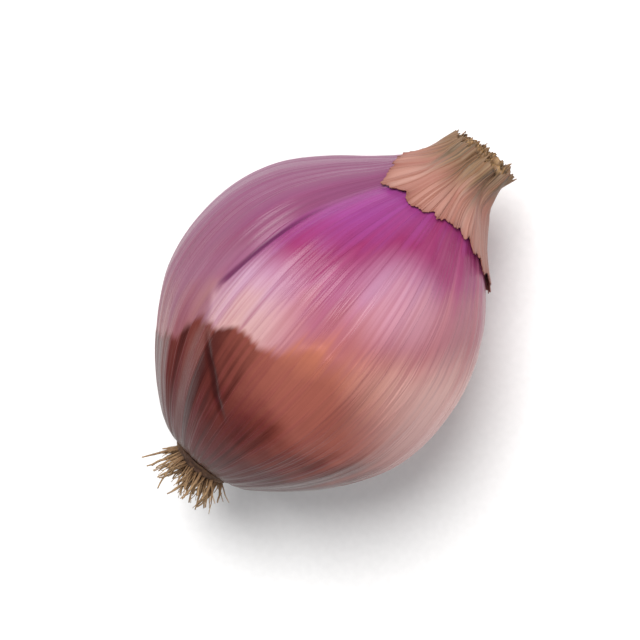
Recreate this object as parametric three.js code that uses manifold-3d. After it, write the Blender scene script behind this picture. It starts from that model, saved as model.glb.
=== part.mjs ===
// A pink shallot, lying on its side on a small flat spot. Millimetres, +Z up.
// The root end points to -Y and the neck to +Y. The neck is short, and droops a little.
// Three pieces are separate: the fleshy bulb with its neck, the papery outer skin
// that is left round the neck, and the root plate with its dried rootlets.

import * as THREE from "three";
import { mergeVertices } from "three/addons/utils/BufferGeometryUtils.js";
import Module from "manifold-3d";

const wasm = await Module();
wasm.setup();

// Driving dimensions of the bulb
const BULB_WIDTH = 47;
const BULB_THICKNESS = 43;
const BULB_LENGTH = 56;
const GIRTH_AT = 0.47;
const REST_TILT = 3;
const FLAT_DEPTH = 0.8;
const BULB_SEGMENTS = 78;
const BULB_RINGS = 40;

// Outline from the root plate to the tip of the neck:
// [share of the bulb's length, share of half its width]
const OUTLINE = [
  [0.004, 0],
  [0.003, 0.12],
  [0.0, 0.225],
  [0.012, 0.33],
  [0.05, 0.455],
  [0.1, 0.585],
  [0.16, 0.715],
  [0.24, 0.85],
  [0.34, 0.96],
  [0.46, 1.0],
  [0.59, 0.965],
  [0.71, 0.845],
  [0.81, 0.645],
  [0.88, 0.455],
  [0.925, 0.34],
  [0.965, 0.255],
  [1.005, 0.212],
  [1.04, 0.195],
  [1.062, 0.17],
  [1.07, 0.1],
  [1.073, 0],
];

// The neck leaves the middle line of the bulb from this share of the length on.
const BEND_FROM = 0.6;
const BEND_SIDE = 3;
const BEND_UP = -2.5;

// Grooves between the cloves that grow in one skin. The angle is round the bulb, from
// straight up towards +X, in degrees; depth and half width are in millimetres and degrees.
const GROOVES = [
  { at: -37, depth: 1.0, width: 7 },
  { at: -2, depth: 0.55, width: 13 },
  { at: 96, depth: 0.8, width: 12 },
  { at: -118, depth: 0.7, width: 12 },
];
// The flank beyond the first groove lies lower than the clove in front.
const FLANK = { at: -75, depth: 0.7, width: 30 };
// Low ribs where the veins of the skin run from root to neck
const RIBS = { count: 15, height: 0.13 };
// Twisted pleats of the dried neck
const PLEATS = { count: 7, height: 0.4, twist: 70 };

// Papery outer skin round the neck
const SKIN_GAP = 0.35;
const SKIN_THICKNESS = 0.65;
const SKIN_TOP = 1.04;
const SKIN_STEPS_ROUND = 70;
const SKIN_STEPS_ALONG = 8;
// Its torn lower edge: [angle round the bulb in degrees, share of the bulb's length]
const SKIN_EDGE = [
  [-112, 0.975],
  [-92, 0.95],
  [-62, 0.925],
  [-46, 0.9],
  [-36, 0.866],
  [-22, 0.882],
  [-8, 0.876],
  [6, 0.888],
  [20, 0.893],
  [33, 0.897],
  [46, 0.888],
  [60, 0.866],
  [78, 0.84],
  [92, 0.815],
  [108, 0.79],
  [128, 0.765],
  [150, 0.785],
  [172, 0.76],
  [196, 0.8],
  [214, 0.86],
  [228, 0.93],
  [238, 0.975],
];

// Root plate and rootlets
const PLATE_RADIUS = 4.7;
const PLATE_GAP = 0.3;
const PLATE_THICKNESS = 2.0;
const ROOTLETS = 44;
const ROOTLET_RADIUS = 0.48;
const ROOTLET_LENGTH = [3.0, 6.2];
const ROOTLET_STEPS = 4;
const ROOTLET_SUNK = 0.9;
const GOLDEN_ANGLE = Math.PI * (3 - Math.sqrt(5));
const SEED = 41;

const COLOURS = {
  bulb: new THREE.Color(0.74, 0.3, 0.5),
  skin: new THREE.Color(0.8, 0.56, 0.38),
  roots: new THREE.Color(0.62, 0.5, 0.34),
};

const DEGREE = Math.PI / 180;
const ROOT_END = -GIRTH_AT * BULB_LENGTH;

// The same draws on every run
function makeRandom(seed) {
  let state = seed;
  return () => {
    state = (state * 1664525 + 1013904223) % 4294967296;
    return state / 4294967296;
  };
}

function smooth(low, high, value) {
  const share = Math.min(1, Math.max(0, (value - low) / (high - low)));
  return share * share * (3 - 2 * share);
}

function hump(angle, centre, width) {
  let away = Math.abs(angle - centre) % 360;
  away = Math.min(away, 360 - away);
  return Math.exp(-((away / width) ** 2));
}

const outline = new THREE.SplineCurve(
  OUTLINE.map(
    ([along, out]) =>
      new THREE.Vector2((out * BULB_WIDTH) / 2, (along - GIRTH_AT) * BULB_LENGTH),
  ),
);

// Radius of the plain outline at a share of the length, past the root rim
function radiusAt(along) {
  const y = (along - GIRTH_AT) * BULB_LENGTH;
  let low = 0.2;
  let high = 1;
  for (let i = 0; i < 40; i += 1) {
    const middle = (low + high) / 2;
    if (outline.getPoint(middle).y < y) {
      low = middle;
    } else {
      high = middle;
    }
  }
  return outline.getPoint(low).x;
}

// Where a point of the plain round outline lies on the real bulb
function shaped(angle, radius, y) {
  const along = y / BULB_LENGTH + GIRTH_AT;
  const away = smooth(0, 2.5, radius);
  const body = away * smooth(0.0, 0.22, along) * (1 - smooth(0.82, 0.95, along));
  const neck = smooth(0.86, 0.99, along);
  let r = radius;
  for (const groove of GROOVES) {
    r -= groove.depth * body * hump(angle, groove.at, groove.width);
  }
  r -= FLANK.depth * body * hump(angle, FLANK.at, FLANK.width);
  const ribs = Math.cos(RIBS.count * angle * DEGREE);
  r += RIBS.height * body * ribs;
  const turned = angle + PLEATS.twist * neck * (along - 0.86) * 3;
  const pleats = Math.cos(PLEATS.count * turned * DEGREE);
  r += PLEATS.height * neck * pleats * away;
  const share = Math.max(0, along - BEND_FROM) / (OUTLINE.at(-1)[0] - BEND_FROM);
  const flatten = THREE.MathUtils.lerp(BULB_THICKNESS / BULB_WIDTH, 1, neck);
  return new THREE.Vector3(
    r * Math.sin(angle * DEGREE) + BEND_SIDE * share ** 2,
    y,
    r * Math.cos(angle * DEGREE) * flatten + BEND_UP * share ** 2,
  );
}

// From the bulb's own middle line to where the shallot lies on the surface
const lying = new THREE.Matrix4()
  .makeTranslation(0, 0, BULB_THICKNESS / 2 - FLAT_DEPTH)
  .multiply(new THREE.Matrix4().makeRotationX(REST_TILT * DEGREE));

function onBulb(angle, along, above) {
  const at = (a, s) => shaped(a, radiusAt(s), (s - GIRTH_AT) * BULB_LENGTH);
  const point = at(angle, along);
  const round = at(angle + 1, along).sub(at(angle - 1, along));
  const forward = at(angle, along + 0.004).sub(at(angle, along - 0.004));
  const normal = forward.cross(round).normalize();
  return point.addScaledVector(normal, -above);
}

// A closed mesh as a solid that can be joined and cut
function solidOf(geometry) {
  const bare = new THREE.BufferGeometry();
  bare.setAttribute("position", geometry.getAttribute("position"));
  bare.setIndex(geometry.index);
  const merged = mergeVertices(bare, 1e-4);
  const corners = merged.index.array;
  const kept = [];
  for (let i = 0; i < corners.length; i += 3) {
    const [a, b, c] = corners.slice(i, i + 3);
    if (a !== b && b !== c && c !== a) {
      kept.push(a, b, c);
    }
  }
  return new wasm.Manifold(
    new wasm.Mesh({
      numProp: 3,
      vertProperties: merged.attributes.position.array,
      triVerts: new Uint32Array(kept),
    }),
  );
}

function meshOf(solid, name, colour, roughness) {
  const made = solid.getMesh();
  const geometry = new THREE.BufferGeometry();
  geometry.setAttribute("position", new THREE.BufferAttribute(made.vertProperties, 3));
  geometry.setIndex(new THREE.BufferAttribute(made.triVerts, 1));
  geometry.computeVertexNormals();
  const material = new THREE.MeshStandardMaterial({ color: colour, roughness, metalness: 0 });
  const mesh = new THREE.Mesh(geometry, material);
  mesh.name = name;
  return mesh;
}

// The bulb: a turned outline, shaped into cloves, ribs and a bent neck, and cut flat below
function makeBulb() {
  const rings = outline.getSpacedPoints(BULB_RINGS);
  rings[0].x = 0;
  rings.at(-1).x = 0;
  const geometry = new THREE.LatheGeometry(rings, BULB_SEGMENTS);
  const position = geometry.getAttribute("position");
  for (let i = 0; i < position.count; i += 1) {
    const x = position.getX(i);
    const z = position.getZ(i);
    const angle = Math.atan2(x, z) / DEGREE;
    const point = shaped(angle, Math.hypot(x, z), position.getY(i)).applyMatrix4(lying);
    position.setXYZ(i, point.x, point.y, point.z);
  }
  const below = new THREE.BoxGeometry(3 * BULB_LENGTH, 3 * BULB_LENGTH, BULB_THICKNESS);
  below.translate(0, 0, -BULB_THICKNESS / 2);
  return meshOf(solidOf(geometry).subtract(solidOf(below)), "bulb", COLOURS.bulb, 0.4);
}

function skinEdgeAt(angle) {
  const next = SKIN_EDGE.findIndex(([at]) => at >= angle);
  if (next <= 0) {
    return SKIN_EDGE[Math.max(0, next)][1];
  }
  const [fromAngle, from] = SKIN_EDGE[next - 1];
  const [toAngle, to] = SKIN_EDGE[next];
  return THREE.MathUtils.mapLinear(angle, fromAngle, toAngle, from, to);
}

// The papery skin: a thin sheet laid round the neck, with a torn lower edge and a slit
function makePaperySkin() {
  const positions = [];
  const index = [];
  const rows = SKIN_STEPS_ALONG + 1;
  const columns = SKIN_STEPS_ROUND + 1;
  const first = SKIN_EDGE[0][0];
  const last = SKIN_EDGE.at(-1)[0];
  for (const above of [SKIN_GAP, SKIN_GAP + SKIN_THICKNESS]) {
    for (let i = 0; i < columns; i += 1) {
      const angle = THREE.MathUtils.lerp(first, last, i / SKIN_STEPS_ROUND);
      const edge = skinEdgeAt(angle);
      for (let j = 0; j < rows; j += 1) {
        const along = THREE.MathUtils.lerp(edge, SKIN_TOP, j / SKIN_STEPS_ALONG);
        const point = onBulb(angle, along, above).applyMatrix4(lying);
        positions.push(point.x, point.y, point.z);
      }
    }
  }
  const inner = (i, j) => i * rows + j;
  const outer = (i, j) => columns * rows + i * rows + j;
  const quad = (a, b, c, d) => index.push(a, b, c, a, c, d);
  for (let i = 0; i < SKIN_STEPS_ROUND; i += 1) {
    for (let j = 0; j < SKIN_STEPS_ALONG; j += 1) {
      quad(outer(i, j), outer(i + 1, j), outer(i + 1, j + 1), outer(i, j + 1));
      quad(inner(i, j), inner(i, j + 1), inner(i + 1, j + 1), inner(i + 1, j));
    }
    quad(inner(i, 0), inner(i + 1, 0), outer(i + 1, 0), outer(i, 0));
    const top = SKIN_STEPS_ALONG;
    quad(inner(i, top), outer(i, top), outer(i + 1, top), inner(i + 1, top));
  }
  for (let j = 0; j < SKIN_STEPS_ALONG; j += 1) {
    const end = SKIN_STEPS_ROUND;
    quad(inner(0, j), outer(0, j), outer(0, j + 1), inner(0, j + 1));
    quad(inner(end, j), inner(end, j + 1), outer(end, j + 1), outer(end, j));
  }
  const geometry = new THREE.BufferGeometry();
  geometry.setAttribute("position", new THREE.Float32BufferAttribute(positions, 3));
  geometry.setIndex(index);
  return meshOf(solidOf(geometry), "papery_skin", COLOURS.skin, 0.6);
}

// One dried rootlet: a three-sided tapering thread that curls as it leaves the plate
function rootletSolid(start, heading, curl, length) {
  const points = [start.clone().addScaledVector(heading, -ROOTLET_SUNK)];
  const step = length / (ROOTLET_STEPS - 1);
  const walk = start.clone();
  const way = heading.clone();
  for (let i = 0; i < ROOTLET_STEPS; i += 1) {
    points.push(walk.clone());
    way.addScaledVector(curl, 0.35).normalize();
    walk.addScaledVector(way, step);
  }
  const positions = [];
  const index = [];
  const across = new THREE.Vector3(0, 0, 1).cross(heading).normalize();
  const up = heading.clone().cross(across);
  points.forEach((point, i) => {
    const radius = ROOTLET_RADIUS * (1 - (0.55 * i) / ROOTLET_STEPS);
    for (let side = 0; side < 3; side += 1) {
      const turn = (side * 2 * Math.PI) / 3;
      const corner = point
        .clone()
        .addScaledVector(across, radius * Math.cos(turn))
        .addScaledVector(up, radius * Math.sin(turn));
      positions.push(corner.x, corner.y, corner.z);
    }
  });
  for (let i = 0; i < points.length - 1; i += 1) {
    for (let side = 0; side < 3; side += 1) {
      const a = 3 * i + side;
      const b = 3 * i + ((side + 1) % 3);
      index.push(a, b, b + 3, a, b + 3, a + 3);
    }
  }
  const end = 3 * (points.length - 1);
  index.push(0, 2, 1, end, end + 1, end + 2);
  const geometry = new THREE.BufferGeometry();
  geometry.setAttribute("position", new THREE.Float32BufferAttribute(positions, 3));
  geometry.setIndex(index);
  return solidOf(geometry);
}

// The root plate, domed outwards, with rootlets set over it in a sunflower spiral
function makeRootTuft() {
  const random = makeRandom(SEED);
  const back = ROOT_END - PLATE_GAP;
  const dome = [
    new THREE.Vector2(0, back - PLATE_THICKNESS),
    new THREE.Vector2(PLATE_RADIUS * 0.55, back - PLATE_THICKNESS * 0.85),
    new THREE.Vector2(PLATE_RADIUS * 0.9, back - PLATE_THICKNESS * 0.45),
    new THREE.Vector2(PLATE_RADIUS, back),
    new THREE.Vector2(0, back),
  ];
  let solid = solidOf(new THREE.LatheGeometry(dome, 24));
  for (let i = 0; i < ROOTLETS; i += 1) {
    const out = Math.sqrt((i + 0.5) / ROOTLETS);
    const turn = i * GOLDEN_ANGLE;
    const side = new THREE.Vector3(Math.sin(turn), 0, Math.cos(turn));
    const start = side.clone().multiplyScalar(out * PLATE_RADIUS * 0.86);
    start.y = back - PLATE_THICKNESS * (1 - 0.45 * out ** 2) + 0.1;
    const heading = new THREE.Vector3(0, -1, 0).addScaledVector(side, 0.75 * out).normalize();
    const curl = new THREE.Vector3(random() - 0.5, random() - 0.75, random() - 0.65);
    const [shortest, longest] = ROOTLET_LENGTH;
    const length = THREE.MathUtils.lerp(shortest, longest, random());
    solid = solid.add(rootletSolid(start, heading, curl, length));
  }
  const mesh = meshOf(solid, "root_tuft", COLOURS.roots, 0.8);
  mesh.applyMatrix4(lying);
  return mesh;
}

const shallot = new THREE.Group();
shallot.add(makeBulb(), makePaperySkin(), makeRootTuft());

export default shallot;
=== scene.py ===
# %% [markdown]
# # A pink shallot, lying on its side
#
# The solid model has three pieces: the bulb, the papery skin round its neck, and the tuft
# of roots. Here each one gets a finer shape and its own material, and the whole is lit and
# seen from above, as on a white table.

import math

import bmesh
import bpy
import numpy as np
from mathutils import Matrix, Vector, noise


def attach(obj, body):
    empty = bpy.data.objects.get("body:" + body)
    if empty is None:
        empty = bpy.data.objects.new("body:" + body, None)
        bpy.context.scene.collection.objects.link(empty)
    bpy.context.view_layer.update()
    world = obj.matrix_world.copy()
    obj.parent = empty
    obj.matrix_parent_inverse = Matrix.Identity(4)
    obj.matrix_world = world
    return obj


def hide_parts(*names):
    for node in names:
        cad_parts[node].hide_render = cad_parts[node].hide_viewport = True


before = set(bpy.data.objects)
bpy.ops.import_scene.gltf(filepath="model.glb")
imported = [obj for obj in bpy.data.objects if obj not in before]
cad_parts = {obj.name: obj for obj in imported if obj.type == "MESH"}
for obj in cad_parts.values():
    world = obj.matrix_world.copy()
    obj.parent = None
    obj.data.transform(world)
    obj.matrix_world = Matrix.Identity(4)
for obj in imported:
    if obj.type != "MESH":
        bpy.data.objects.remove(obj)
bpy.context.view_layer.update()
print("nodes:", sorted(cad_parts))

# %% [markdown]
# ## The bulb's measures
#
# A shallot is a turned shape that has grown uneven. It could be sculpted by hand, but then
# the finer piece would leave the solid one. So it is built from the same measures as the
# solid: an outline from root to neck, grooves between the cloves, ribs, and a bent neck.
# Lengths in the formulas are in millimetres, and angles run round the bulb in degrees, from
# straight up towards +X.

# %% Measures of the bulb
BULB_WIDTH = 47
BULB_THICKNESS = 43
BULB_LENGTH = 56
GIRTH_AT = 0.47
REST_TILT = 3
FLAT_DEPTH = 0.8
ROOT_END = -GIRTH_AT * BULB_LENGTH

# (share of the bulb's length, share of half its width), from the root plate to the neck
OUTLINE = [
    (0.004, 0),
    (0.003, 0.12),
    (0.0, 0.225),
    (0.012, 0.33),
    (0.05, 0.455),
    (0.1, 0.585),
    (0.16, 0.715),
    (0.24, 0.85),
    (0.34, 0.96),
    (0.46, 1.0),
    (0.59, 0.965),
    (0.71, 0.845),
    (0.81, 0.645),
    (0.88, 0.455),
    (0.925, 0.34),
    (0.965, 0.255),
    (1.005, 0.212),
    (1.04, 0.195),
    (1.062, 0.17),
    (1.07, 0.1),
    (1.073, 0),
]

# Grooves between the cloves, and the lower flank: (angle, depth in mm, half width in degrees)
GROOVES = [(-37, 1.0, 7), (-2, 0.55, 13), (96, 0.8, 12), (-118, 0.7, 12)]
FLANK = (-75, 0.7, 30)

# Ribs round the body, pleats round the neck, and how far the neck bends aside and down
RIBS, RIB_HEIGHT = 15, 0.13
PLEATS, PLEAT_HEIGHT, PLEAT_TWIST = 7, 0.4, 70
BEND_FROM, BEND_SIDE, BEND_UP = 0.6, 3, -2.5
print("bulb in mm:", BULB_LENGTH, "long,", BULB_WIDTH, "wide,", BULB_THICKNESS, "thick")


# %% Helpers: a soft step and a soft hump
def smooth(low, high, value):
    share = min(1.0, max(0.0, (value - low) / (high - low)))
    return share * share * (3 - 2 * share)


def hump(angle, centre, width):
    away = abs(angle - centre) % 360
    away = min(away, 360 - away)
    return math.exp(-((away / width) ** 2))


print("a hump of width 7, seen 7 degrees off:", round(hump(7, 0, 7), 2))


# %% A smooth line through the outline's points
def outline_point(share):
    """A point of the outline, (radius, place along the bulb), for a share of its points"""
    last = len(OUTLINE) - 1
    first = min(int(share * last), last - 1)
    t = share * last - first
    p0, p1, p2, p3 = (
        Vector(OUTLINE[max(0, min(last, first + k))]) for k in (-1, 0, 1, 2)
    )
    out, back = (p2 - p0) / 2, (p3 - p1) / 2
    at = (2 * (p1 - p2) + out + back) * t**3 + (3 * (p2 - p1) - 2 * out - back) * t**2
    along, wide = at + out * t + p1
    return wide * BULB_WIDTH / 2, (along - GIRTH_AT) * BULB_LENGTH


outline = np.array([outline_point(k / 1200) for k in range(1201)])
travelled = np.concatenate([[0], np.cumsum(np.hypot(*np.diff(outline, axis=0).T))])
travelled /= travelled[-1]
side = outline[240:]  # past the root plate, where the outline only goes forward
print("widest radius:", round(outline[:, 0].max(), 2), "mm")

# %% [markdown]
# ## From the turned shape to the grown one
#
# One function says where each point of the plain turned shape really lies. The grooves and
# ribs fade out at the root and at the neck, the neck gets twisted pleats, and the whole is a
# little flatter than it is wide. The same function places the papery skin later on, so the
# skin can't sink into the bulb.


# %% Where a point of the turned shape lies on the real bulb
def grown(angle, radius, y, fine=1.0):
    along = y / BULB_LENGTH + GIRTH_AT
    off_axis = smooth(0, 2.5, radius)
    body = off_axis * smooth(0.0, 0.22, along) * (1 - smooth(0.82, 0.95, along))
    neck = smooth(0.86, 0.99, along)
    r = radius
    for at, depth, width in GROOVES + [FLANK]:
        r -= depth * body * hump(angle, at, width)
    r += RIB_HEIGHT * body * math.cos(math.radians(RIBS * angle))
    turned = angle + PLEAT_TWIST * neck * (along - 0.86) * 3
    r += PLEAT_HEIGHT * neck * off_axis * math.cos(math.radians(PLEATS * turned))
    r += fine * off_axis * fine_relief(angle, turned, along, neck)
    share = max(0, along - BEND_FROM) / (OUTLINE[-1][0] - BEND_FROM)
    flatten = BULB_THICKNESS / BULB_WIDTH * (1 - neck) + neck
    x = r * math.sin(math.radians(angle)) + BEND_SIDE * share**2
    z = r * math.cos(math.radians(angle)) * flatten + BEND_UP * share**2
    return Vector((x, y, z))


print("grooves:", len(GROOVES), "ribs:", RIBS, "pleats:", PLEATS)

# %% [markdown]
# ## The crease and the fine relief
#
# One clove lies over its neighbour, and the skin is folded into the gap as a line, coloured a
# deeper violet with painted shade in it. In the pink skin it follows the deep groove. In the
# copper skin it swings away from the groove, as a slit. The solid has the groove alone. The
# line, the veins, the shallow dents and the puckers round the root plate are too fine for it,
# and are added here.

# %% Where the dark crease runs
# (share of the bulb's length, angle)
CREASE = [
    (0.17, -3),
    (0.2, -9),
    (0.22, -13),
    (0.26, -18),
    (0.3, -24),
    (0.36, -33),
    (0.41, -38),
    (0.44, -38.8),
    (0.49, -37.8),
    (0.56, -36.5),
    (0.63, -35.6),
    (0.8, -34),
]
crease_table = np.array(CREASE)


def crease_angle(along):
    return float(np.interp(along, crease_table[:, 0], crease_table[:, 1]))


def crease_strengths(along):
    """How deep the crease is in the pink skin, and in the copper one"""
    in_pink = smooth(0.4, 0.47, along) * (1 - smooth(0.62, 0.8, along))
    in_copper = 0.8 * smooth(0.16, 0.22, along) * (1 - smooth(0.28, 0.36, along))
    return in_pink, in_copper


print("crease at half length:", round(crease_angle(0.5), 1), "degrees")

# %% Fine relief that the solid leaves out
# Heights in millimetres, and the widths and counts that go with them
VEIN_HEIGHT, DENT_HEIGHT, CREASE_DEPTH, PUCKER_HEIGHT, FIBRE_HEIGHT = 0.1, 0.28, 0.32, 0.1, 0.4
CREASE_WIDTH, PUCKERS = 1.4, 29


def fine_relief(angle, turned, along, neck):
    """Veins, dents, the line of the crease, puckers at the root, fibres on the neck"""
    turn = math.radians(angle)
    way = Vector((math.sin(turn), math.cos(turn), 0))
    veins = noise.noise(way * 16 + Vector((0, 0, along * 1.3)))
    dents = noise.noise(way * 2.6 + Vector((3, 1, along * 2.4)))
    line = hump(angle, crease_angle(along), CREASE_WIDTH) * max(crease_strengths(along))
    pucker = math.cos(math.radians(PUCKERS * angle)) * (1 - smooth(0.0, 0.07, along))
    fibres = noise.noise(
        Vector((math.sin(math.radians(turned)), math.cos(math.radians(turned)), 0)) * 7
        + Vector((0, 0, along * 3))
    )
    on_body = VEIN_HEIGHT * veins + DENT_HEIGHT * dents - CREASE_DEPTH * line
    on_body += PUCKER_HEIGHT * pucker
    return (1 - neck) * on_body + neck * FIBRE_HEIGHT * fibres


print("deepest fine relief:", CREASE_DEPTH, "mm")

# %% The way the bulb lies
lying = Matrix.Scale(0.001, 4) @ Matrix.Translation((0, 0, BULB_THICKNESS / 2 - FLAT_DEPTH))
lying = lying @ Matrix.Rotation(math.radians(REST_TILT), 4, "X")


def radius_at(along):
    y = (along - GIRTH_AT) * BULB_LENGTH
    return float(np.interp(y, side[:, 1], side[:, 0]))


def over_bulb(angle, along, above):
    """A point above the bulb's own surface by so many millimetres, in metres"""

    def at(a, s):
        return grown(a, radius_at(s), (s - GIRTH_AT) * BULB_LENGTH, fine=0.0)

    around = at(angle + 1, along) - at(angle - 1, along)
    forward = at(angle, along + 0.004) - at(angle, along - 0.004)
    normal = around.cross(forward).normalized()
    return lying @ (at(angle, along) + normal * above)


print("top of the bulb:", [round(1000 * c, 1) for c in over_bulb(0, GIRTH_AT, 0)], "mm")

# %% [markdown]
# ## Shared steps for materials
#
# A material is a small tree of nodes. It could be drawn by hand in the shader editor; in a
# script, a few helpers with plain names keep each tree readable. Colours are given as they
# look on a screen, from 0 to 255, and turned into the linear values that the shader wants.


# %% Helpers: colours, sockets and sums
def paint(red, green, blue):
    def linear(c):
        c /= 255
        return c / 12.92 if c <= 0.04045 else ((c + 0.055) / 1.055) ** 2.4

    return (linear(red), linear(green), linear(blue), 1.0)


def plug_in(tree, socket, value):
    if isinstance(value, bpy.types.NodeSocket):
        tree.links.new(value, socket)
    else:
        socket.default_value = value


def calculate(tree, operation, first, second=0.0):
    step = tree.nodes.new("ShaderNodeMath")
    step.operation = operation
    plug_in(tree, step.inputs[0], first)
    plug_in(tree, step.inputs[1], second)
    return step.outputs[0]


def swing(tree, value, reach):
    """A noise from 0 to 1, turned into a swing to both sides"""
    return calculate(tree, "MULTIPLY", calculate(tree, "SUBTRACT", value, 0.5), reach)


print("middle grey becomes", round(paint(128, 128, 128)[0], 3))


# %% Helpers: fades, blends and ramps
def fade(tree, value, low, high, to_low=0.0, to_high=1.0):
    """0 below low and 1 above high, with a soft step between; the other way if low is higher"""
    step = tree.nodes.new("ShaderNodeMapRange")
    step.interpolation_type = "SMOOTHSTEP"
    plug_in(tree, step.inputs["Value"], value)
    step.inputs["From Min"].default_value = low
    step.inputs["From Max"].default_value = high
    step.inputs["To Min"].default_value = to_low
    step.inputs["To Max"].default_value = to_high
    return step.outputs["Result"]


def blend(tree, share, first, second, how="MIX"):
    step = tree.nodes.new("ShaderNodeMix")
    step.data_type = "RGBA"
    step.blend_type = how
    plug_in(tree, step.inputs["Factor"], share)
    plug_in(tree, step.inputs[6], first)
    plug_in(tree, step.inputs[7], second)
    return step.outputs[2]


def ramp(tree, value, stops):
    """Stops are (place, colour), the two ends first, as a new ramp already has two stops"""
    step = tree.nodes.new("ShaderNodeValToRGB")
    plug_in(tree, step.inputs["Fac"], value)
    for k, (place, colour) in enumerate(stops):
        stop = step.color_ramp.elements[k] if k < 2 else step.color_ramp.elements.new(place)
        stop.position = place
        stop.color = colour
    return step.outputs["Color"]


# %% Helpers: noise, attributes and relief
def mottle(tree, vector, scale, detail=3.0):
    step = tree.nodes.new("ShaderNodeTexNoise")
    plug_in(tree, step.inputs["Vector"], vector)
    step.inputs["Scale"].default_value = scale
    step.inputs["Detail"].default_value = detail
    return step.outputs["Fac"]


def attribute(tree, name):
    step = tree.nodes.new("ShaderNodeAttribute")
    step.attribute_name = name
    return step


def vector_step(tree, operation, first, second):
    step = tree.nodes.new("ShaderNodeVectorMath")
    step.operation = operation
    plug_in(tree, step.inputs[0], first)
    plug_in(tree, step.inputs[1], second)
    return step.outputs["Value"] if operation in ("DISTANCE", "DOT_PRODUCT") else step.outputs[0]


def new_material(name):
    material = bpy.data.materials.new(name)
    material.use_nodes = True
    return material, material.node_tree, material.node_tree.nodes["Principled BSDF"]


def relief(tree, shader, height, distance, strength):
    bump = tree.nodes.new("ShaderNodeBump")
    bump.inputs["Distance"].default_value = distance
    bump.inputs["Strength"].default_value = strength
    plug_in(tree, bump.inputs["Height"], height)
    tree.links.new(bump.outputs["Normal"], shader.inputs["Normal"])


print("helpers ready, materials so far:", len(bpy.data.materials))

# %% [markdown]
# ## Streaks from root to neck
#
# The veins of an onion skin run from the root to the neck, and crowd together at both ends.
# A noise in plain coordinates wouldn't follow them. So each piece carries an attribute,
# grain, that holds the sine and cosine of the angle round the bulb and the place along it.
# A noise that is fine in the first two and coarse in the third draws streaks, and it has no
# seam. Two materials use it, so it is one node group.

# %% The streaks node group
streaks = bpy.data.node_groups.new("streaks", "ShaderNodeTree")
for socket, kind in (("Grain", "NodeSocketVector"), ("Round", "NodeSocketFloat"),
                     ("Along", "NodeSocketFloat"), ("Sharpness", "NodeSocketFloat")):
    streaks.interface.new_socket(name=socket, in_out="INPUT", socket_type=kind)
streaks.interface.new_socket(name="Streaks", in_out="OUTPUT", socket_type="NodeSocketFloat")
streaks.interface.new_socket(name="Lines", in_out="OUTPUT", socket_type="NodeSocketFloat")
entry = streaks.nodes.new("NodeGroupInput")
leave = streaks.nodes.new("NodeGroupOutput")
stretch = streaks.nodes.new("ShaderNodeCombineXYZ")
for k, socket in enumerate(("Round", "Round", "Along")):
    streaks.links.new(entry.outputs[socket], stretch.inputs[k])
stretched = vector_step(streaks, "MULTIPLY", entry.outputs["Grain"], stretch.outputs[0])
soft_streaks = mottle(streaks, stretched, 1.0, 4.0)
ridged = calculate(streaks, "ABSOLUTE", calculate(streaks, "SUBTRACT", soft_streaks, 0.5))
lines = calculate(
    streaks, "SUBTRACT", 1.0,
    calculate(streaks, "MULTIPLY", ridged, entry.outputs["Sharpness"]),
)
lines = calculate(streaks, "MAXIMUM", lines, 0.0)
streaks.links.new(soft_streaks, leave.inputs["Streaks"])
streaks.links.new(lines, leave.inputs["Lines"])


def streak(tree, grain, around, along, sharpness=20.0):
    step = tree.nodes.new("ShaderNodeGroup")
    step.node_tree = streaks
    plug_in(tree, step.inputs["Grain"], grain)
    step.inputs["Round"].default_value = around
    step.inputs["Along"].default_value = along
    step.inputs["Sharpness"].default_value = sharpness
    return step.outputs["Streaks"], step.outputs["Lines"]


print("group made:", streaks.name)

# %% [markdown]
# ## The bulb's skin
#
# The skin is magenta near the neck, pink in the middle, pale on the two cloves that bulge
# up, with a painted highlight on each, and copper over the root half, where an older outer
# skin still clings. The colours change across the bulb and not straight along it, so the
# colour ramp reads the object's own coordinates, turned 40 degrees: across runs to the right
# of the picture and upward to its top, both in millimetres. Streaks and blotches then push the
# borders to and fro.

# %% Material: shiny bulb skin
PHOTO_TURN = 40
bulb_skin, tree, shader = new_material("bulb_skin")
grain = attribute(tree, "grain").outputs["Vector"]
place = tree.nodes.new("ShaderNodeTexCoord").outputs["Object"]
turn_to_photo = tree.nodes.new("ShaderNodeMapping")
turn_to_photo.inputs["Rotation"].default_value = (0, 0, math.radians(-PHOTO_TURN))
turn_to_photo.inputs["Scale"].default_value = (1000, 1000, 1000)
tree.links.new(place, turn_to_photo.inputs["Vector"])
parts = tree.nodes.new("ShaderNodeSeparateXYZ")
tree.links.new(turn_to_photo.outputs["Vector"], parts.inputs[0])
across, upward = parts.outputs["X"], parts.outputs["Y"]
grain_parts = tree.nodes.new("ShaderNodeSeparateXYZ")
tree.links.new(grain, grain_parts.inputs[0])
along_bulb = grain_parts.outputs["Z"]

fine_streaks, _ = streak(tree, grain, 38.0, 1.6)
broad_streaks, veins = streak(tree, grain, 11.0, 1.2, 26.0)
blotches = mottle(tree, turn_to_photo.outputs["Vector"], 0.11, 4.0)
print("nodes in the bulb's skin so far:", len(tree.nodes))

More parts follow.
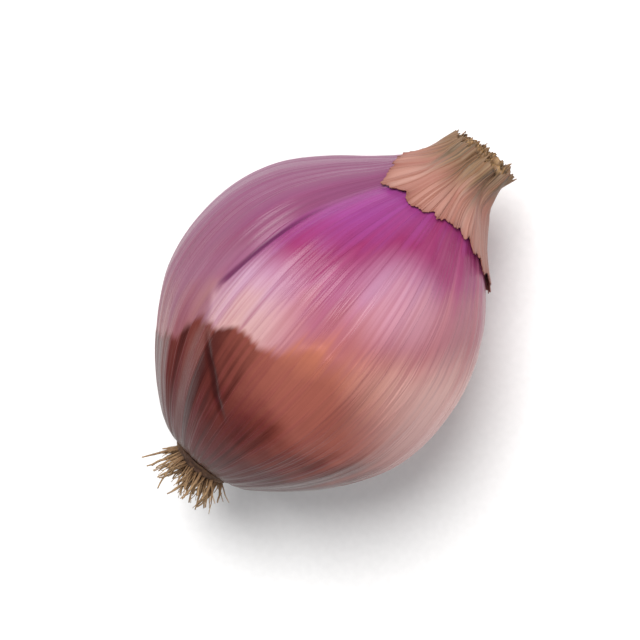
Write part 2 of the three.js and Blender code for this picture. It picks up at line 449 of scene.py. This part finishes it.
# %% Two colour ramps: the pink skin and the copper one
wobble = swing(tree, broad_streaks, 12.0)
drift = swing(tree, blotches, 10.0)
height_on_photo = calculate(tree, "ADD", upward, calculate(tree, "ADD", wobble, drift))
pink = ramp(tree, fade(tree, height_on_photo, -12.0, 30.0), [
    (0.0, paint(168, 100, 98)),
    (1.0, paint(134, 68, 126)),
    (0.22, paint(164, 94, 106)),
    (0.42, paint(154, 74, 112)),
    (0.6, paint(141, 48, 96)),
    (0.8, paint(145, 61, 129)),
])
frayed_share = calculate(
    tree, "ADD", swing(tree, broad_streaks, 0.16), swing(tree, blotches, 0.2)
)
rootward = calculate(tree, "ADD", along_bulb, frayed_share)
copper = ramp(tree, rootward, [
    (0.03, paint(78, 28, 24)),
    (0.6, paint(196, 120, 92)),
    (0.12, paint(98, 37, 29)),
    (0.21, paint(128, 60, 50)),
    (0.3, paint(159, 88, 76)),
    (0.42, paint(156, 88, 75)),
])
print("nodes in the bulb's skin so far:", len(tree.nodes))

# %% [markdown]
# ### Pale cloves and a dull flank
#
# The skin is thin and pale where a clove bulges and stretches it, and the same spot carries a
# painted highlight on the clove's top. That could be painted on, but two soft spots, by their
# distance from a point on top of the bulb, are enough. Low down they are beige and higher up
# violet. The flank past the crease is a duller mauve, and the crease is its border.

# %% The two pale cloves, with a painted highlight on each
# pale skin stretched over the two clove tops, with a painted highlight in the same spots
to_left_pale_highlight = vector_step(tree, "DISTANCE", place, (-0.0095, -0.003, 0.038))
to_right_pale_highlight = vector_step(tree, "DISTANCE", place, (0.0066, 0.0108, 0.037))
pale_and_highlight = calculate(
    tree, "MAXIMUM",
    fade(tree, to_left_pale_highlight, 0.0125, 0.004, 0.0, 0.85),
    fade(tree, to_right_pale_highlight, 0.0094, 0.002, 0.0, 0.66),
)
pale_and_highlight = calculate(tree, "MULTIPLY", pale_and_highlight, fade(tree, fine_streaks, 0.25, 0.6, 0.55, 1.0))
low_pale_and_highlight_paint = blend(tree, fade(tree, across, -9.0, 4.0), paint(196, 159, 157), paint(204, 154, 170))
pale_and_highlight_paint = blend(tree, fade(tree, height_on_photo, 1.0, 10.0), low_pale_and_highlight_paint, paint(189, 153, 177))
low_right = calculate(
    tree, "MULTIPLY",
    fade(tree, across, 11.0, 19.0, 0.0, 0.4), fade(tree, height_on_photo, 9.0, 1.0),
)
pink = blend(tree, low_right, pink, paint(178, 130, 140))
colour = blend(tree, pale_and_highlight, pink, pale_and_highlight_paint)
print("nodes in the bulb's skin so far:", len(tree.nodes))

# %% The dull flank, as far as the crease
crease_parts = tree.nodes.new("ShaderNodeSeparateXYZ")
tree.links.new(attribute(tree, "crease").outputs["Vector"], crease_parts.inputs[0])
towards_flank = vector_step(tree, "DOT_PRODUCT", grain, (-0.966, 0.259, 0.0))
past_crease = calculate(
    tree, "MULTIPLY",
    fade(tree, crease_parts.outputs["X"], 1.0, -1.4), fade(tree, towards_flank, 0.3, 0.7),
)
flank = calculate(tree, "MAXIMUM", fade(tree, towards_flank, 0.72, 0.9), past_crease)
low_on_flank = fade(tree, height_on_photo, -3.0, 8.0)
dull_paint = blend(tree, low_on_flank, paint(136, 84, 88), paint(126, 74, 98))
colour = blend(tree, calculate(tree, "MULTIPLY", flank, 0.75), colour, dull_paint)
print("nodes in the bulb's skin so far:", len(tree.nodes))

# %% [markdown]
# ### Copper over pink
#
# The copper skin is the last of the older ones that dried on the plant. It is dark where it
# is thick and pale where it has worn thin, and its torn edge is sharp on the left and soft on
# the right. An attribute, copper, holds how many millimetres each vertex lies inside that
# edge, so the colour's border and the step in the shape come from the same measure.

# %% The copper skin: pale to the right, dark to the left, and painted shade at the bottom
copper = blend(tree, fade(tree, across, 3.0, 18.0, 0.0, 0.8), copper, paint(212, 173, 170))
leftward = fade(tree, calculate(tree, "ADD", across, drift), -2.0, -14.0)
copper = blend(tree, calculate(tree, "MULTIPLY", leftward, 0.72), copper, paint(82, 18, 17))
in_streaks = fade(tree, broad_streaks, 0.5, 0.36, 0.0, 0.7)
dark_streaks = calculate(tree, "MULTIPLY", leftward, in_streaks)
copper = blend(tree, dark_streaks, copper, paint(50, 10, 12))
# painted shade along the lower edge of the bulb, weaker towards the right
painted_shade_below = calculate(
    tree, "MULTIPLY",
    fade(tree, height_on_photo, -15.5, -25.0, 0.0, 0.85), fade(tree, across, 14.0, 1.0, 0.35, 1.0),
)
copper = blend(tree, painted_shade_below, copper, paint(68, 20, 16))
fibres = calculate(
    tree, "ADD", swing(tree, broad_streaks, 7.0), swing(tree, fine_streaks, 5.0)
)
fibres = calculate(tree, "MULTIPLY", fibres, fade(tree, across, -10.0, 4.0, 0.4, 1.0))
copper_depth = calculate(tree, "ADD", attribute(tree, "copper").outputs["Fac"], fibres)
softness = fade(tree, across, -9.0, 9.0, 0.8, 4.0)
copper_share = fade(tree, calculate(tree, "DIVIDE", copper_depth, softness), -1.0, 1.0)
colour = blend(tree, copper_share, colour, copper)
print("nodes in the bulb's skin so far:", len(tree.nodes))

# %% The dark line of the crease: deeper violet skin and painted shade
off_crease = calculate(tree, "ABSOLUTE", crease_parts.outputs["X"])
crease_here = blend(tree, copper_share, crease_parts.outputs["Y"], crease_parts.outputs["Z"])
widened = calculate(tree, "ADD", 1.0, calculate(tree, "MULTIPLY", copper_share, 0.8))
off_line = calculate(tree, "DIVIDE", off_crease, widened)
# the crease's line is a deeper violet with painted shade in it, and painted shade also lies beside
# it
crease_violet_and_shade = calculate(tree, "MULTIPLY", fade(tree, off_line, 0.7, 0.15), crease_here)
shade_beside_crease = fade(tree, off_crease, 2.4, 0.3, 0.0, 0.4)
crease_flank_shade = calculate(tree, "MULTIPLY", shade_beside_crease, crease_here)
crease_flank_shade_paint = blend(tree, copper_share, paint(134, 48, 104), paint(84, 24, 20))
crease_violet_and_shade_paint = blend(tree, copper_share, paint(84, 20, 68), paint(40, 8, 10))
colour = blend(tree, crease_flank_shade, colour, crease_flank_shade_paint)
colour = blend(tree, calculate(tree, "MULTIPLY", crease_violet_and_shade, 0.85), colour, crease_violet_and_shade_paint)
print("nodes in the bulb's skin so far:", len(tree.nodes))

# %% [markdown]
# ### Dry ends, veins and sheen
#
# The skin has withered brown round the root plate and straw-coloured on the neck. Thin veins
# and fine light and dark streaks lie over all of it. It shines like lacquer, a little less
# along some streaks, so the same noise also drives the roughness.

# %% Dry ends, painted shade in the tip's hollows, veins and fine streaks
root_end = fade(tree, along_bulb, 0.05, 0.0)
colour = blend(tree, calculate(tree, "MULTIPLY", root_end, 0.8), colour, paint(74, 46, 36))
neck_end = fade(tree, along_bulb, 0.93, 1.0)
dry_neck = ramp(tree, broad_streaks, [
    (0.3, paint(92, 70, 48)),
    (0.7, paint(178, 140, 96)),
])
colour = blend(tree, neck_end, colour, dry_neck)
# painted shade in the hollows between the sheaths of the dried tip
hollow_shade = attribute(tree, "hollow_shade").outputs["Fac"]
colour = blend(tree, calculate(tree, "MULTIPLY", hollow_shade, 0.8), colour, paint(48, 32, 24))
colour = blend(tree, calculate(tree, "MULTIPLY", veins, 0.13), colour, paint(120, 30, 66))
light_and_dark = ramp(tree, fine_streaks, [
    (0.3, (0.6, 0.56, 0.6, 1.0)),
    (0.7, (1.0, 1.0, 1.0, 1.0)),
])
colour = blend(tree, 0.34, colour, light_and_dark, "MULTIPLY")
tree.links.new(colour, shader.inputs["Base Color"])
print("nodes in the bulb's skin so far:", len(tree.nodes))

# %% Sheen of the bulb skin
gloss = fade(tree, broad_streaks, 0.3, 0.7, 0.26, 0.4)
tree.links.new(gloss, shader.inputs["Roughness"])
tree.links.new(calculate(tree, "MULTIPLY", copper_share, 0.15), shader.inputs["Metallic"])
shader.inputs["Specular IOR Level"].default_value = 0.22
both = calculate(tree, "ADD", fine_streaks, calculate(tree, "MULTIPLY", veins, 0.5))
relief(tree, shader, both, 0.0002, 0.35)
print("material made:", bulb_skin.name)

# %% [markdown]
# ## The papery skin's material
#
# What is left of the outermost skin has dried to tan paper. It has close parallel veins, is
# darker along its torn edge, and turns olive brown towards the tip of the neck.

# %% Material: papery skin
paper_skin, tree, shader = new_material("papery_skin")
grain = attribute(tree, "grain").outputs["Vector"]
edge = attribute(tree, "edge").outputs["Fac"]
grain_parts = tree.nodes.new("ShaderNodeSeparateXYZ")
tree.links.new(grain, grain_parts.inputs[0])
fine_streaks, fine_lines = streak(tree, grain, 30.0, 1.8)
broad_streaks, veins = streak(tree, grain, 9.0, 1.2, 30.0)
tan = ramp(tree, broad_streaks, [
    (0.3, paint(144, 90, 79)),
    (0.7, paint(179, 135, 123)),
    (0.5, paint(163, 113, 101)),
])
towards_tip = fade(tree, calculate(
    tree, "ADD", grain_parts.outputs["Z"],
    calculate(tree, "MULTIPLY", broad_streaks, 0.12),
), 0.99, 1.1)
olive = ramp(tree, fine_streaks, [
    (0.3, paint(70, 54, 38)),
    (0.7, paint(140, 108, 74)),
])
colour = blend(tree, towards_tip, tan, olive)
colour = blend(tree, calculate(tree, "MULTIPLY", veins, 0.45), colour, paint(140, 78, 56))
colour = blend(tree, calculate(tree, "MULTIPLY", fine_lines, 0.25), colour, paint(150, 92, 66))
colour = blend(tree, calculate(tree, "MULTIPLY", edge, 0.55), colour, paint(122, 58, 44))
tree.links.new(colour, shader.inputs["Base Color"])
print("nodes in the papery skin so far:", len(tree.nodes))

# %% Sheen and veins of the papery skin
tree.links.new(fade(tree, fine_streaks, 0.3, 0.7, 0.42, 0.6), shader.inputs["Roughness"])
both = calculate(tree, "ADD", fine_streaks, veins)
relief(tree, shader, both, 0.0003, 0.5)
print("material made:", paper_skin.name)

# %% [markdown]
# ## The roots' material
#
# Dried roots are dull and fibrous: brown where they leave the plate and straw towards the
# tips. The attribute reach runs from 0 at the plate to 1 at the tip.

# %% Material: dried roots
dried_roots, tree, shader = new_material("dried_roots")
reach = attribute(tree, "reach").outputs["Fac"]
place = tree.nodes.new("ShaderNodeTexCoord").outputs["Object"]
specks = mottle(tree, place, 2600.0, 4.0)
patches = mottle(tree, place, 420.0, 3.0)
straw = ramp(tree, calculate(tree, "ADD", reach, swing(tree, patches, 0.9)), [
    (0.0, paint(78, 52, 38)),
    (1.0, paint(172, 142, 106)),
    (0.4, paint(128, 96, 66)),
])
dirt = ramp(tree, specks, [
    (0.35, (0.35, 0.3, 0.27, 1.0)),
    (0.6, (1.0, 1.0, 1.0, 1.0)),
])
colour = blend(tree, 0.6, straw, dirt, "MULTIPLY")
tree.links.new(colour, shader.inputs["Base Color"])
tree.links.new(fade(tree, specks, 0.3, 0.7, 0.7, 0.95), shader.inputs["Roughness"])
relief(tree, shader, specks, 0.0003, 0.6)
print("material made:", dried_roots.name)


# %% [markdown]
# ## Handing a finished mesh over
#
# Each finer piece takes the place of one solid and rides on the same body. The solid stays
# for collision.


# %% Helper: make the piece an object
def hand_over(mesh, name, material, node):
    for face in mesh.faces:
        face.smooth = True
    data = bpy.data.meshes.new(name)
    mesh.to_mesh(data)
    mesh.free()
    data.materials.append(material)
    piece = bpy.data.objects.new(name, data)
    bpy.context.scene.collection.objects.link(piece)
    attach(piece, "root")
    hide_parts(node)
    print(name, "has", len(data.polygons), "faces")
    return piece


# %% [markdown]
# ## The bulb
#
# A sphere has just what is needed: meridians from pole to pole, closed at both ends. Each
# vertex keeps its longitude, its latitude says how far along the outline it is, and it moves
# to where the formula puts it. The older copper skin ends in a torn edge, a tenth of a
# millimetre proud of the pink one. Last, whatever would be under the table is pressed flat.

# %% Where the copper skin clings
# Its edge over the bulb, in the picture's directions: (mm to the right, mm up)
COPPER_EDGE = [
    (-20, -1.3),
    (-18.5, -1.4),
    (-16.5, 1.4),
    (-14, 3.1),
    (-11.5, 2.6),
    (-9.5, 2.3),
    (-7.5, 1.5),
    (-6, 0.5),
    (-2, -0.9),
    (0.5, -0.9),
    (4, -2.0),
    (8, -2.9),
    (14, -4.2),
    (20, -5.5),
]
COPPER_STEP = 0.12
PHOTO_COS, PHOTO_SIN = 0.766, 0.643
copper_table = np.array(COPPER_EDGE)


def copper_reach(angle, point):
    """How many millimetres a point lies inside the edge of the older copper skin"""
    upward_mm = -PHOTO_SIN * point.x + PHOTO_COS * point.y
    across_mm = PHOTO_COS * point.x + PHOTO_SIN * point.y
    turn = math.radians(angle)
    way = Vector((math.sin(turn), math.cos(turn), 0))
    tears = 1.3 * noise.noise(way * 5) + 0.8 * noise.noise(way * 14) + 0.4 * noise.noise(way * 37)
    sweep = 1.3 * noise.noise(point * 0.11 + Vector((5, 2, 0)))
    edge = float(np.interp(across_mm, copper_table[:, 0], copper_table[:, 1]))
    return edge - upward_mm + tears + sweep


print("copper skin's edge:", len(COPPER_EDGE), "points, a step of", COPPER_STEP, "mm")

# %% The dried tip, where the leaves were
SHEATH_WIDTH = 1.2
TIP_FROM, TIP_TO = 1.045, 1.062


def dried_tip(angle, radius, along):
    """How far the sheaths of the withered leaves stand up or sink, and how much painted shade lies
    in the hollows between them
    """
    turn = math.radians(angle)
    way = Vector((math.sin(turn), math.cos(turn), 0))
    oval = radius * (1 + 0.22 * math.cos(2 * turn + 0.9)) + 0.8 * noise.noise(way * 1.3)
    oval += 0.35 * noise.noise(way * radius * 0.9 + Vector((0, 0, 8)))
    sheath = math.floor(oval / SHEATH_WIDTH)
    wall = math.exp(-(((oval / SHEATH_WIDTH - sheath - 0.5) / 0.2) ** 2))
    ragged = noise.noise(way * 3.5 + Vector((0, 0, sheath * 5.3)))
    fringe = noise.noise(way * 13 + Vector((0, 0, sheath * 2.9)))
    there = smooth(TIP_FROM, TIP_TO, along)
    stand = wall * (0.3 + 0.9 * ragged + 0.35 * fringe) - 1.5 * (1 - wall)
    return there * stand, there * (1 - wall)


print("sheaths of the dried tip:", round(radius_at(TIP_FROM) / SHEATH_WIDTH, 1))

# %% Shape the bulb from a sphere
MERIDIANS, CIRCLES = 352, 236
NECK_LATITUDE, NECK_SHARE = 0.82, 0.93  # from here on the circles stand closer together
bulb = bmesh.new()
bmesh.ops.create_uvsphere(bulb, u_segments=MERIDIANS, v_segments=CIRCLES, radius=1.0)
grain_layer = bulb.verts.layers.float_vector.new("grain")
crease_layer = bulb.verts.layers.float_vector.new("crease")
copper_layer = bulb.verts.layers.float.new("copper")
hollow_shade_layer = bulb.verts.layers.float.new("hollow_shade")
for vert in bulb.verts:
    angle = math.degrees(math.atan2(vert.co.y, vert.co.x))
    latitude = math.acos(max(-1.0, min(1.0, -vert.co.z))) / math.pi
    share = float(np.interp(latitude, (0, NECK_LATITUDE, 1), (0, NECK_SHARE, 1)))
    radius = max(0.0, float(np.interp(share, travelled, outline[:, 0])))
    y = float(np.interp(share, travelled, outline[:, 1]))
    if abs(vert.co.z) > 0.99999:
        angle, radius = 0.0, 0.0
    along = y / BULB_LENGTH + GIRTH_AT
    point = grown(angle, radius, y)
    copper_here = copper_reach(angle, point) - 20 * smooth(0.88, 0.98, along)
    if radius > 3:
        out = Vector((point.x, 0, point.z)).normalized()
        point += out * COPPER_STEP * smooth(-0.7, 0.7, copper_here)
    stand, hollow_shade = dried_tip(angle, radius, along)
    point.y += stand
    turn = math.radians(angle)
    vert[grain_layer] = Vector((math.sin(turn), math.cos(turn), along))
    # how much painted shade lies in the tip's hollows
    vert[hollow_shade_layer] = hollow_shade
    off_crease = math.radians((angle - crease_angle(along) + 180) % 360 - 180) * radius
    vert[crease_layer] = Vector((off_crease, *crease_strengths(along)))
    vert[copper_layer] = copper_here
    vert.co = lying @ point
    vert.co.z = max(0.0, vert.co.z)
hand_over(bulb, "shallot_bulb", bulb_skin, "bulb")

# %% [markdown]
# ## The papery skin
#
# Real onion paper is a tenth of a millimetre thick. A grid is laid over the neck: its columns
# go round and its rows run from the torn edge up to the tip. Near the edge it lifts and
# curls a little off the bulb, and past the neck's end it goes on in shreds, a little further
# than the solid does. A Solidify modifier then gives the sheet its thickness.

# %% The torn edge
# (angle, share of the bulb's length)
SKIN_EDGE = [
    (-112, 0.975),
    (-92, 0.95),
    (-62, 0.925),
    (-46, 0.9),
    (-36, 0.866),
    (-22, 0.882),
    (-8, 0.876),
    (6, 0.888),
    (20, 0.893),
    (33, 0.897),
    (46, 0.888),
    (60, 0.866),
    (78, 0.84),
    (92, 0.815),
    (108, 0.79),
    (128, 0.765),
    (150, 0.785),
    (172, 0.76),
    (196, 0.8),
    (214, 0.86),
    (228, 0.93),
    (238, 0.975),
]
SKIN_TOP = 1.065
edge_table = np.array(SKIN_EDGE)


def torn_edge(angle):
    turn = math.radians(angle)
    way = Vector((math.sin(turn), math.cos(turn), 0.3))
    rough = 0.012 * noise.noise(way * 9) + 0.008 * noise.noise(way * 34)
    return float(np.interp(angle, edge_table[:, 0], edge_table[:, 1])) + rough


print("torn edge:", len(SKIN_EDGE), "points, lowest at", edge_table[:, 1].min())

# %% The frayed end of the sheet
FRAY_FROM = 1.03
slope = Vector((2 * BEND_SIDE, BEND_UP * 2, 0)) / (OUTLINE[-1][0] - BEND_FROM) / BULB_LENGTH
neck_way = Vector((slope.x, 1, slope.y)).normalized()
print("the neck ends along", [round(c, 2) for c in neck_way])


def frayed(angle, along, above):
    """Like over_bulb, but near the neck's end the sheet runs straight on, and its shreds lean"""
    if along <= FRAY_FROM:
        return over_bulb(angle, along, above)
    past = (along - FRAY_FROM) * BULB_LENGTH
    turn = math.radians(angle)
    out = Vector((math.sin(turn), 0, math.cos(turn)))
    lean = 0.12 * past + 0.5 * past * noise.noise(out * 3.1 + Vector((0, 2, 0)))
    root = lying.inverted() @ over_bulb(angle, FRAY_FROM, above)
    return lying @ (root + neck_way * past - out * lean)


# %% Lay the sheet over the neck
# How far the sheet stands off the bulb and curls, and its least gap, in millimetres
STAND_OFF, CURL, WRINKLE, NECK_FIBRE, LEAST_GAP = 0.52, 0.34, 0.16, 0.3, 0.25
PAPER_THICKNESS = 0.00014  # this one and the neck's middle are in metres
NECK_MIDDLE = Vector((0.003, 0.026, 0.024))
sheet = bmesh.new()
bmesh.ops.create_grid(sheet, x_segments=300, y_segments=70, size=0.5)
grain_layer = sheet.verts.layers.float_vector.new("grain")
edge_layer = sheet.verts.layers.float.new("edge")
for vert in sheet.verts:
    angle = SKIN_EDGE[0][0] + (vert.co.x + 0.5) * (SKIN_EDGE[-1][0] - SKIN_EDGE[0][0])
    rise = vert.co.y + 0.5
    turn = math.radians(angle)
    way = Vector((math.sin(turn), math.cos(turn), 0))
    low = torn_edge(angle)
    shreds = 0.022 * noise.noise(way * 5 + Vector((0, 0, 4))) + 0.02 * noise.noise(way * 17)
    top = SKIN_TOP + shreds + 0.008 * noise.noise(way * 46)
    along = low + (top - low) * rise**1.15
    from_edge = (along - low) * BULB_LENGTH
    curl = CURL * math.exp(-from_edge / 1.1) * (0.5 + noise.noise(way * 8 + Vector((7, 0, 0))))
    wrinkle = WRINKLE * noise.noise(way * 12 + Vector((0, 0, along * 3)))
    fibre = noise.noise(way * 9 + Vector((0, 0, along * 2)))
    neck_fibres = NECK_FIBRE * smooth(0.93, 1.05, along) * fibre
    above = STAND_OFF + max(0.0, curl) + wrinkle + neck_fibres
    vert[grain_layer] = Vector((math.sin(turn), math.cos(turn), along))
    vert[edge_layer] = math.exp(-from_edge / 0.5)
    vert.co = frayed(angle, along, max(LEAST_GAP, above))
bmesh.ops.recalc_face_normals(sheet, faces=sheet.faces[:])
sheet.normal_update()
outwards = sum(
    face.normal.dot(face.calc_center_median() - NECK_MIDDLE) for face in sheet.faces
)
if outwards < 0:
    bmesh.ops.reverse_faces(sheet, faces=sheet.faces[:])
skin_piece = hand_over(sheet, "papery_outer_skin", paper_skin, "papery_skin")
wall = skin_piece.modifiers.new("paper_thickness", "SOLIDIFY")
wall.thickness = PAPER_THICKNESS
wall.offset = -1.0
wall.use_rim = True
print("papery skin:", round(PAPER_THICKNESS * 1000, 2), "mm thick")

# %% [markdown]
# ## The root tuft
#
# A shallot sits on a corky plate, and the roots that it was pulled up by have dried to short
# curly threads. Each thread starts as a thin cone, is cut into lengths, and is then bent
# along its own path. The thicker ones are where the solid has them, by the same seeded rule,
# and finer ones grow between.

# %% Measures of the root tuft
PLATE_RADIUS, PLATE_GAP, PLATE_THICKNESS = 4.7, 0.3, 2.0
ROOTLETS, SHORTEST, LONGEST, ROOT_RADIUS = 44, 3.0, 6.2, 0.3
FINE_ROOTS, FINE_SHORTEST, FINE_LONGEST, FINE_RADIUS = 120, 1.8, 5.4, 0.14
GOLDEN_ANGLE = math.pi * (3 - math.sqrt(5))
back = ROOT_END - PLATE_GAP
print("roots:", ROOTLETS, "thick,", FINE_ROOTS, "fine")


# %% Seeded random numbers
class Draws:
    """The same row of random numbers on every run"""

    def __init__(self, seed):
        self.state = seed

    def next(self):
        self.state = (self.state * 1664525 + 1013904223) % 4294967296
        return self.state / 4294967296


print("a first draw:", round(Draws(41).next(), 3))

# %% The plate: a sphere pressed to a dome
tuft = bmesh.new()
reach_layer = tuft.verts.layers.float.new("reach")
bmesh.ops.create_uvsphere(tuft, u_segments=72, v_segments=36, radius=1.0)
for vert in tuft.verts:
    out = Vector((vert.co.y, 0, vert.co.x)) * PLATE_RADIUS
    lump = 1 + 0.1 * noise.noise(vert.co * 3.5) + 0.05 * noise.noise(vert.co * 11)
    depth = max(0.0, -vert.co.z) * PLATE_THICKNESS * lump
    vert.co = lying @ Vector((out.x * lump, back - depth, out.z * lump))
    vert[reach_layer] = 0.05
print("corners in the plate:", len(tuft.verts))


# %% One thread, from a cone
def grow_thread(mesh, start, heading, curl, length, radius, steps, wiggle):
    made = bmesh.ops.create_cone(
        mesh, cap_ends=True, segments=6, radius1=radius, radius2=radius * 0.35, depth=1.0
    )
    long_edges = dict.fromkeys(
        edge
        for vert in made["verts"]
        for edge in vert.link_edges
        if abs(edge.verts[0].co.z - edge.verts[1].co.z) > 0.5
    )
    bmesh.ops.subdivide_edges(mesh, edges=list(long_edges), cuts=steps - 1)
    fresh = [vert for vert in mesh.verts if vert[reach_layer] == 0]
    path = [start - heading * 0.9]
    way = heading.copy()
    spot = start.copy()
    for k in range(steps):
        path.append(spot.copy())
        waver = wiggle * math.sin(k * 1.3) * 0.17
        way = (way + curl * (0.35 * 4 / steps) + waver).normalized()
        spot += way * length / (steps - 1)
    for vert in fresh:
        station = (vert.co.z + 0.5) * steps
        low = min(int(station), steps - 1)
        centre = path[low].lerp(path[low + 1], station - low)
        forward = (path[low + 1] - path[low]).normalized()
        across = Vector((0, 0, 1)).cross(forward)
        across = across.normalized() if across.length > 0.1 else Vector((1, 0, 0))
        upright = forward.cross(across)
        vert[reach_layer] = 0.25 + 0.75 * station / steps
        vert.co = lying @ (centre + across * vert.co.x + upright * vert.co.y)


# %% Set the threads over the plate
def plant(mesh, count, draws, radius, shortest, longest, steps, turned):
    for k in range(count):
        out = math.sqrt((k + 0.5) / count)
        turn = k * GOLDEN_ANGLE + turned
        side_way = Vector((math.sin(turn), 0, math.cos(turn)))
        start = side_way * out * PLATE_RADIUS * 0.86
        start.y = back - PLATE_THICKNESS * (1 - 0.45 * out**2) + 0.1
        heading = (Vector((0, -1, 0)) + side_way * 0.75 * out).normalized()
        curl = Vector((draws.next() - 0.5, draws.next() - 0.75, draws.next() - 0.65))
        length = shortest + (longest - shortest) * draws.next()
        wiggle = Vector((math.sin(k * 2.1), 0.3, math.cos(k * 3.7)))
        grow_thread(mesh, start, heading, curl, length, radius, steps, wiggle)


plant(tuft, ROOTLETS, Draws(41), ROOT_RADIUS, SHORTEST, LONGEST, steps=14, turned=0.0)
plant(tuft, FINE_ROOTS, Draws(7), FINE_RADIUS, FINE_SHORTEST, FINE_LONGEST, steps=10, turned=1.3)
hand_over(tuft, "dried_root_tuft", dried_roots, "root_tuft")

# %% [markdown]
# ## Table, light and camera
#
# The photograph is a plain white product picture, lit softly from above. A big pale sheet is
# the table. A large soft lamp stands on the side of the picture's top, a weaker one fills in
# from the other side, and the pale world fills the shadows.

# %% The table
TABLE_HALF_WIDTH = 1.5
table = bmesh.new()
bmesh.ops.create_grid(table, x_segments=1, y_segments=1, size=TABLE_HALF_WIDTH)
table_data = bpy.data.meshes.new("table")
table.to_mesh(table_data)
table.free()
table_piece = bpy.data.objects.new("table", table_data)
bpy.context.scene.collection.objects.link(table_piece)
white_paper, tree, shader = new_material("white_paper")
place = tree.nodes.new("ShaderNodeTexCoord").outputs["Object"]
tint = ramp(tree, mottle(tree, place, 900.0), [
    (0.3, paint(242, 242, 243)),
    (0.7, paint(246, 246, 247)),
])
tree.links.new(tint, shader.inputs["Base Color"])
shader.inputs["Roughness"].default_value = 0.8
table_data.materials.append(white_paper)
print("table:", TABLE_HALF_WIDTH * 2, "m wide")

# %% Where the camera looks from
VIEW_ELEVATION = 81
ROLL = 50
FRAME_WIDTH = 0.092
LENS = 180
SENSOR_WIDTH = 36
rise = math.radians(VIEW_ELEVATION)
towards_camera = Vector((0, math.cos(rise), math.sin(rise)))
axis_on_picture = Vector((0, math.sin(rise), -math.cos(rise)))
sideways = Vector((1, 0, 0))
roll = math.radians(ROLL)
picture_right = math.cos(roll) * axis_on_picture + math.sin(roll) * sideways
picture_up = math.sin(roll) * axis_on_picture - math.cos(roll) * sideways
target = Vector((0.0, 0.0, 0.02))

camera_data = bpy.data.cameras.new("camera")
camera_data.lens = LENS
camera_data.sensor_width = SENSOR_WIDTH
camera = bpy.data.objects.new("camera", camera_data)
bpy.context.scene.collection.objects.link(camera)
turned = Matrix((picture_right, picture_up, towards_camera)).transposed().to_4x4()
away = FRAME_WIDTH * LENS / SENSOR_WIDTH
camera.matrix_world = Matrix.Translation(target + towards_camera * away) @ turned
camera_data.clip_start = 0.01
bpy.context.scene.camera = camera
print("camera stands", round(away, 2), "m off")

# %% Soft lamps
LAMP_HEIGHT, KEY_WATTS, FILL_WATTS, WORLD_STRENGTH = 1.4, 31.0, 7.8, 0.3


def soft_lamp(name, place, size, watts, colour):
    lamp_data = bpy.data.lights.new(name, "AREA")
    lamp_data.shape = "DISK"
    lamp_data.size = size
    lamp_data.energy = watts
    lamp_data.color = colour
    lamp = bpy.data.objects.new(name, lamp_data)
    bpy.context.scene.collection.objects.link(lamp)
    lamp.location = place
    lamp.rotation_euler = (target - Vector(place)).to_track_quat("-Z", "Y").to_euler()
    print(name, "lamp:", watts, "W")


over = target + Vector((0, 0, LAMP_HEIGHT))
key_place = over + picture_up * 0.76 - picture_right * 0.13
fill_place = over - picture_up * 1.0 + picture_right * 1.0
soft_lamp("key", key_place, 1.0, KEY_WATTS, (1.0, 0.99, 0.97))
soft_lamp("fill", fill_place, 1.3, FILL_WATTS, (0.98, 0.99, 1.0))

world = bpy.data.worlds.new("studio")
world.use_nodes = True
world.node_tree.nodes["Background"].inputs["Color"].default_value = (1.0, 1.0, 1.0, 1.0)
world.node_tree.nodes["Background"].inputs["Strength"].default_value = WORLD_STRENGTH
bpy.context.scene.world = world
bpy.context.scene.view_settings.view_transform = "Standard"
